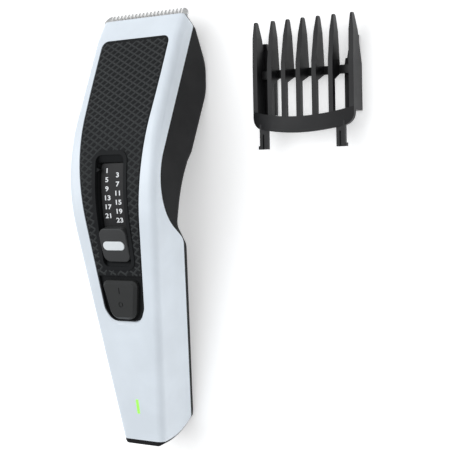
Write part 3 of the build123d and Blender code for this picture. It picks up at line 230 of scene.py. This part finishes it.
nickel = ground_steel("nickel", (0.62, 0.60, 0.56), 0.25, 4000.0, 1500.0)
contact_brass = ground_steel("contact_brass", (0.72, 0.55, 0.28), 0.25, 5000.0, 1500.0)
board_green = laminate("board_green", (0.02, 0.13, 0.05))
light_green = lit_lens("light_green", (0.30, 0.66, 0.10), 0.75)

finishes = {
    "front_frame": white_shell, "rear_housing": dark_shell, "front_panel": dark_panel,
    "slot_tray": dark_slot, "length_slider": dark_thumb, "slider_pill": white_pill,
    "scale_plate": scale_dark, "power_switch": dark_switch, "light_guide": light_green,
    "charging_socket": switch_black, "socket_pins": contact_brass, "comb": black_comb,
    "guard_blade": blade_steel, "cutter_blade": blade_steel, "cutter_holder": black_holder,
    "blade_spring": spring_steel, "drive_bridge": natural_acetal, "eccentric": natural_acetal,
    "comb_carriage": grey_acetal, "detent_spring": spring_steel, "motor": can_steel,
    "motor_shaft": shaft_steel, "motor_bracket": grey_acetal, "motor_screws": screw_steel,
    "circuit_board": board_green, "board_screws": screw_steel, "slide_switch": switch_black,
    "indicator_chip": chip_white, "battery_cell": cell_green, "battery_tabs": nickel,
}
SMOOTH_ANGLE = radians(26)
for name, node in frame["nodes"].items():
    node.data.materials.clear()
    node.data.materials.append(finishes[name])
    node.data.shade_smooth()
    node.data.set_sharp_from_angle(angle=SMOOTH_ANGLE)


def new_piece(name, bm, material, body):
    """Makes an object from a finished mesh and lets it ride on a body."""
    bmesh.ops.recalc_face_normals(bm, faces=bm.faces)
    mesh = bpy.data.meshes.new(name)
    bm.to_mesh(mesh)
    bm.free()
    mesh.materials.append(material)
    piece = bpy.data.objects.new(name, mesh)
    scene.collection.objects.link(piece)
    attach(piece, body)
    return piece


# ---------------------------------------------------------------- criss-cross ridges on the panel
RIDGE_HALF_WIDTH = 0.62 * MM
RIDGE_HEIGHT = 0.20 * MM
# a thin strip along the ridges' crests, which carries a painted highlight
CREST_HALF_WIDTH = 0.16 * MM
CREST_HEIGHT = 0.215 * MM
RIDGE_SINK = 0.12 * MM
RIDGE_STEP = 0.4 * MM
# slope across the panel, spacing up the panel
RIDGE_FAMILIES = ((-0.58, 3.0 * MM), (0.92, 3.3 * MM))
EDGE_MARGIN = 0.55 * MM
CORNER_MARGIN = 1.2 * MM
RING_MARGIN = 0.05 * MM
PANEL_TOP_MARGIN = 0.7 * MM
SHORTEST_RUN = 4
TAPER_Y = -19.6 * MM
KNEE_Y = -95.0 * MM
KNEE_HALF_WIDTH = 9.9 * MM
TAPER_RADIUS = 600.0 * MM
PANEL_FOOT_Y = -80.9 * MM
PANEL_TOP_Y = panel_high.y - PANEL_TOP_MARGIN
RING_CORNER = 4.2 * MM

half_width_top = PANEL_HALF_WIDTH + PANEL_GAP
taper = atan2(half_width_top - KNEE_HALF_WIDTH, TAPER_Y - KNEE_Y)
taper_reach = TAPER_RADIUS * tan(taper / 2)


def panel_half_width(y):
    """Half the panel's width at a height y, with the long round where its taper starts."""
    if y > TAPER_Y + taper_reach:
        return half_width_top
    if y < TAPER_Y - taper_reach * cos(taper):
        return half_width_top - (TAPER_Y - y) * tan(taper)
    return half_width_top - TAPER_RADIUS + sqrt(TAPER_RADIUS**2 - (y - TAPER_Y - taper_reach) ** 2)


def on_texture(x, y):
    """True where the panel carries its texture: inside its edge and outside the slot's ring."""
    if not PANEL_FOOT_Y < y < PANEL_TOP_Y or abs(x) > panel_half_width(y) - EDGE_MARGIN:
        return False
    corner = panel_half_width(y) - EDGE_MARGIN - abs(x) + PANEL_TOP_Y - y
    if corner < CORNER_MARGIN:
        return False
    middle_y = (SLOT_LOW_Y + SLOT_HIGH_Y) / 2
    out_x = abs(x) - (SLOT_HALF_WIDTH + RING_WIDTH - RING_CORNER)
    out_y = abs(y - middle_y) - ((SLOT_HIGH_Y - SLOT_LOW_Y) / 2 + RING_WIDTH - RING_CORNER)
    outside = sqrt(max(out_x, 0.0) ** 2 + max(out_y, 0.0) ** 2) + min(max(out_x, out_y), 0.0)
    return outside > RING_CORNER + RING_MARGIN


def add_ridge(bm, points, direction, half_width, height):
    """A low closed ridge with a three-sided section along points (x, s) on the front face."""
    side_x, side_s = -direction[1], direction[0]
    rings = []
    last = len(points) - 1
    for index, (x, s) in enumerate(points):
        top = height if 0 < index < last else 0.0
        ring = []
        for offset, lift in ((-half_width, -RIDGE_SINK), (0.0, top), (half_width, -RIDGE_SINK)):
            y, z = face_point(s + side_s * offset, lift)
            ring.append(bm.verts.new((x + side_x * offset, y, z)))
        rings.append(ring)
    for before, after in zip(rings, rings[1:]):
        for k in range(3):
            bm.faces.new((before[k], before[(k + 1) % 3], after[(k + 1) % 3], after[k]))
    bm.faces.new(rings[0])
    bm.faces.new(reversed(rings[-1]))


def ridge_runs(slope, spacing):
    """Runs of points (x, s) along one family of lines, broken where the texture stops."""
    s_low, s_high = s_of_y(PANEL_FOOT_Y), s_of_y(PANEL_TOP_Y)
    reach = half_width_top * abs(slope)
    steps = int(2 * half_width_top * sqrt(1 + slope**2) / RIDGE_STEP)
    runs = []
    for line in range(int((s_high - s_low + 2 * reach) / spacing) + 1):
        s_middle = s_low - reach + line * spacing
        run = []
        for step in range(steps + 1):
            x = half_width_top * (2 * step / steps - 1)
            s = s_middle + x * slope
            if on_texture(x, face_point(s)[0]):
                run.append((x, s))
            else:
                runs.append(run)
                run = []
        runs.append(run)
    return [run for run in runs if len(run) >= SHORTEST_RUN]


def lattice(name, families, half_width, height, material):
    """One piece made of every ridge of some families of lines."""
    bm = bmesh.new()
    for slope, spacing in families:
        length = sqrt(1 + slope**2)
        for run in ridge_runs(slope, spacing):
            add_ridge(bm, run, (1 / length, slope / length), half_width, height)
    new_piece(name, bm, material, "housing")


# the ridges carry painted sheen in their lighter colour
lattice("panel_ridges", RIDGE_FAMILIES, RIDGE_HALF_WIDTH, RIDGE_HEIGHT, ridge_painted_sheen)
# thin strips along the crests of the first family carry a painted highlight
lattice("crest_painted_highlights", RIDGE_FAMILIES[:1], CREST_HALF_WIDTH, CREST_HEIGHT, crest_painted_highlight)


# ---------------------------------------------------------------- numbers on the scale plate
NUMBER_SIZE = 2.7 * MM
NUMBER_STRETCH = 1.3
NUMBER_THICKNESS = 0.04 * MM
NUMBER_WEIGHT = 0.06 * MM
WELD_DISTANCE = 0.002 * MM
NUMBER_COLUMNS = (-3.1 * MM, 2.15 * MM)
FIRST_ANGLE = radians(5.94)
STEP_ANGLE = radians(1.51)
NUMBER_COUNT = 12


def number_piece(index):
    """One printed number, flat on the curved plate."""
    value = 2 * index + 1
    text = bpy.data.curves.new("scale_text", "FONT")
    text.body = str(value)
    text.size = NUMBER_SIZE
    text.align_x = "CENTER"
    text.align_y = "CENTER"
    text.extrude = NUMBER_THICKNESS / 2
    text.offset = NUMBER_WEIGHT
    text.resolution_u = 4
    holder = bpy.data.objects.new("scale_text", text)
    scene.collection.objects.link(holder)
    bpy.context.view_layer.update()
    mesh = bpy.data.meshes.new_from_object(holder)
    bpy.data.objects.remove(holder)
    angle = FIRST_ANGLE - STEP_ANGLE * index
    normal = Vector((0, sin(angle), cos(angle)))
    along = Vector((0, cos(angle), -sin(angle)))
    place = crest + normal * PLATE_RADIUS + Vector((NUMBER_COLUMNS[index % 2], 0, 0))
    mesh.transform(Matrix((
        (NUMBER_STRETCH, along.x, normal.x, place.x), (0, along.y, normal.y, place.y),
        (0, along.z, normal.z, place.z), (0, 0, 0, 1),
    )))
    bm = bmesh.new()
    bm.from_mesh(mesh)
    bmesh.ops.remove_doubles(bm, verts=bm.verts, dist=WELD_DISTANCE)
    bpy.data.meshes.remove(mesh)
    new_piece("scale_number_%d" % value, bm, white_print, "length_setting")


for number_index in range(NUMBER_COUNT):
    number_piece(number_index)


# ---------------------------------------------------------------- floor, light and camera
FLOOR_SIZE = 6.0
FLOOR_GAP = 0.0001
FLOOR_CENTRE = (0.03, -0.05)


def stage_plane(name, size, z, material):
    """A level square plane that only dresses the stage."""
    bm = bmesh.new()
    bmesh.ops.create_grid(bm, x_segments=1, y_segments=1, size=size / 2)
    mesh = bpy.data.meshes.new(name)
    bm.to_mesh(mesh)
    bm.free()
    mesh.materials.append(material)
    plane = bpy.data.objects.new(name, mesh)
    plane.location = (*FLOOR_CENTRE, z)
    scene.collection.objects.link(plane)


# the floor glows a little, so that the shadows on it stay pale
floor_tree = Tree("pale_floor", Emission_Color=(1.0, 1.0, 1.0, 1.0), Emission_Strength=0.4)
floor_tone = floor_tree.mixed(floor_tree.noise(8.0), (0.93, 0.93, 0.93), (0.95, 0.95, 0.95))
floor_tree.feed("Base Color", floor_tone)
floor_tree.feed("Roughness", floor_tree.spread(floor_tree.noise(20.0), 0.75, 0.85))
stage_plane("floor", FLOOR_SIZE, -FLOOR_GAP, floor_tree.material)

world = bpy.data.worlds.new("studio")
world.use_nodes = True
world.node_tree.nodes["Background"].inputs["Color"].default_value = (0.96, 0.98, 1.0, 1.0)
world.node_tree.nodes["Background"].inputs["Strength"].default_value = 0.42
scene.world = world


def softbox(name, place, aim, size, watts, colour=(1.0, 1.0, 1.0)):
    """A square area light at place that points at aim."""
    light = bpy.data.lights.new(name, "AREA")
    light.size = size
    light.energy = watts
    light.color = colour
    lamp = bpy.data.objects.new(name, light)
    lamp.location = place
    lamp.rotation_euler = (Vector(aim) - Vector(place)).to_track_quat("-Z", "Y").to_euler()
    scene.collection.objects.link(lamp)


softbox("key_light", (-0.45, 0.20, 0.85), (0.0, -0.06, 0.02), 0.9, 5.2, (0.98, 0.99, 1.0))
softbox("top_light", (0.30, 0.00, 1.00), (0.03, -0.05, 0.0), 0.9, 2.4)

CAMERA_PLACE = (0.2399, -0.04665, 0.3669)
CAMERA_AIM = Vector((-0.5, -0.0362, -0.8653))
CAMERA_UP = Vector((0.0, 0.99913, -0.0418))
camera_data = bpy.data.cameras.new("camera")
camera_data.lens = 80.0
camera_data.sensor_width = 36.0
camera_data.clip_start = 0.01
camera = bpy.data.objects.new("camera", camera_data)
backward = -CAMERA_AIM.normalized()
sideways = CAMERA_UP.cross(backward).normalized()
upward = backward.cross(sideways)
camera.matrix_world = Matrix((
    (sideways.x, upward.x, backward.x, CAMERA_PLACE[0]),
    (sideways.y, upward.y, backward.y, CAMERA_PLACE[1]),
    (sideways.z, upward.z, backward.z, CAMERA_PLACE[2]),
    (0, 0, 0, 1),
))
scene.collection.objects.link(camera)
scene.camera = camera
scene.view_settings.view_transform = "Standard"
